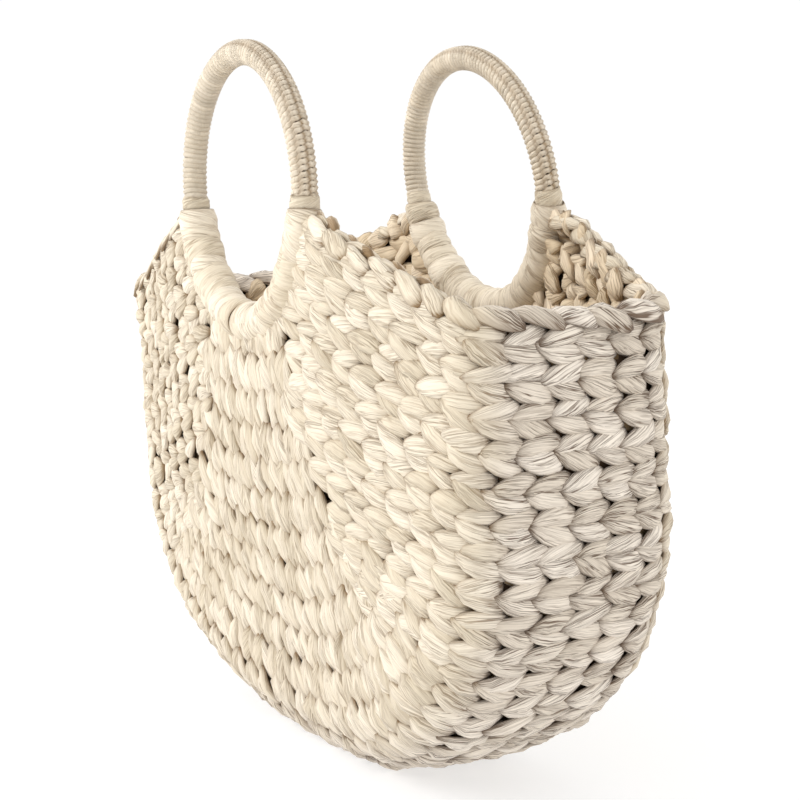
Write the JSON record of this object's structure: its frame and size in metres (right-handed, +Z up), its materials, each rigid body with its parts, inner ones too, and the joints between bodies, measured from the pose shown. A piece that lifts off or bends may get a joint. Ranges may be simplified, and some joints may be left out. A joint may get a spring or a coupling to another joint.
{
  "type": "straw basket bag",
  "caption": "Half-moon tote bag crocheted from flat straw, open at the top, with a wound ring handle on each face.",
  "frame": {"origin": "middle of the footprint's box, on the surface that the bag stands on", "axes": "+Z up, +X along the width, to the right of someone who faces the bag, +Y from the face with the upright ring to the face with the leaning ring"},
  "size_m": [0.3868, 0.158, 0.3519],
  "materials": {
    "crochet_straw": "flat twisted paper straw with a soft fibre sheen",
    "edging_straw": "flat twisted paper straw, braided",
    "binding_straw": "wide creased straw strip, lightly pleated",
    "handle_cord": "thin twisted straw cord, knotted in close turns"
  },
  "bodies": {
    "root": {"basket_body": "crochet_straw", "rim_edging_left": "edging_straw", "rim_edging_right": "edging_straw", "front_ring_cord_winding": "handle_cord", "front_ring_straw_binding": "binding_straw", "back_ring_cord_winding": "handle_cord", "back_ring_straw_binding": "binding_straw"}
  },
  "joints": []
}
